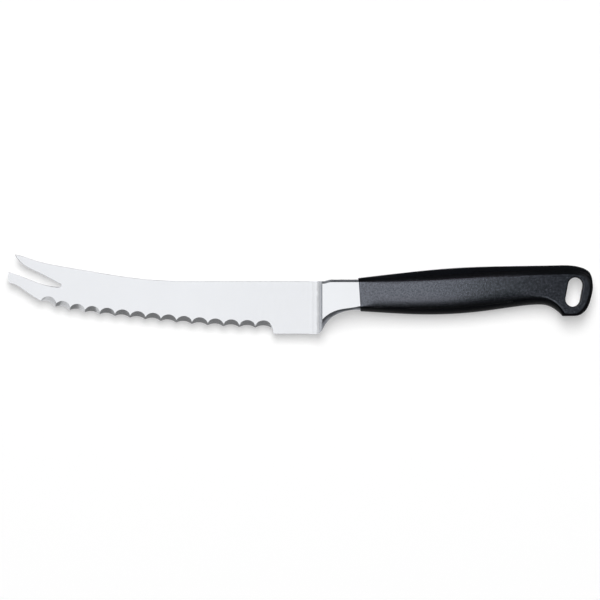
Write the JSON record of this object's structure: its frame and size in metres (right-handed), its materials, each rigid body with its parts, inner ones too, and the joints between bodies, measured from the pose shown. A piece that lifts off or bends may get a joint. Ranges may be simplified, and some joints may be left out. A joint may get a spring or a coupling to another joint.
{
  "type": "tomato knife",
  "caption": "Kitchen knife for tomatoes with a forked tip, an edge scalloped from one face, a full bolster and a moulded handle with a hanging slot.",
  "frame": {"origin": "under the middle of the knife's box, on the surface that the knife lies on", "axes": "the knife lies on its side: +X from the fork to the butt, +Y towards the spine, +Z out of the face that the scallops are ground from"},
  "size_m": [0.2401, 0.0326, 0.0132],
  "materials": {
    "steel": "fine satin grind on the blade, bolster polished",
    "grip_plastic": "black, fine matte grain on the sides"
  },
  "bodies": {
    "root": {"blade": "steel", "handle": "grip_plastic"}
  },
  "joints": []
}
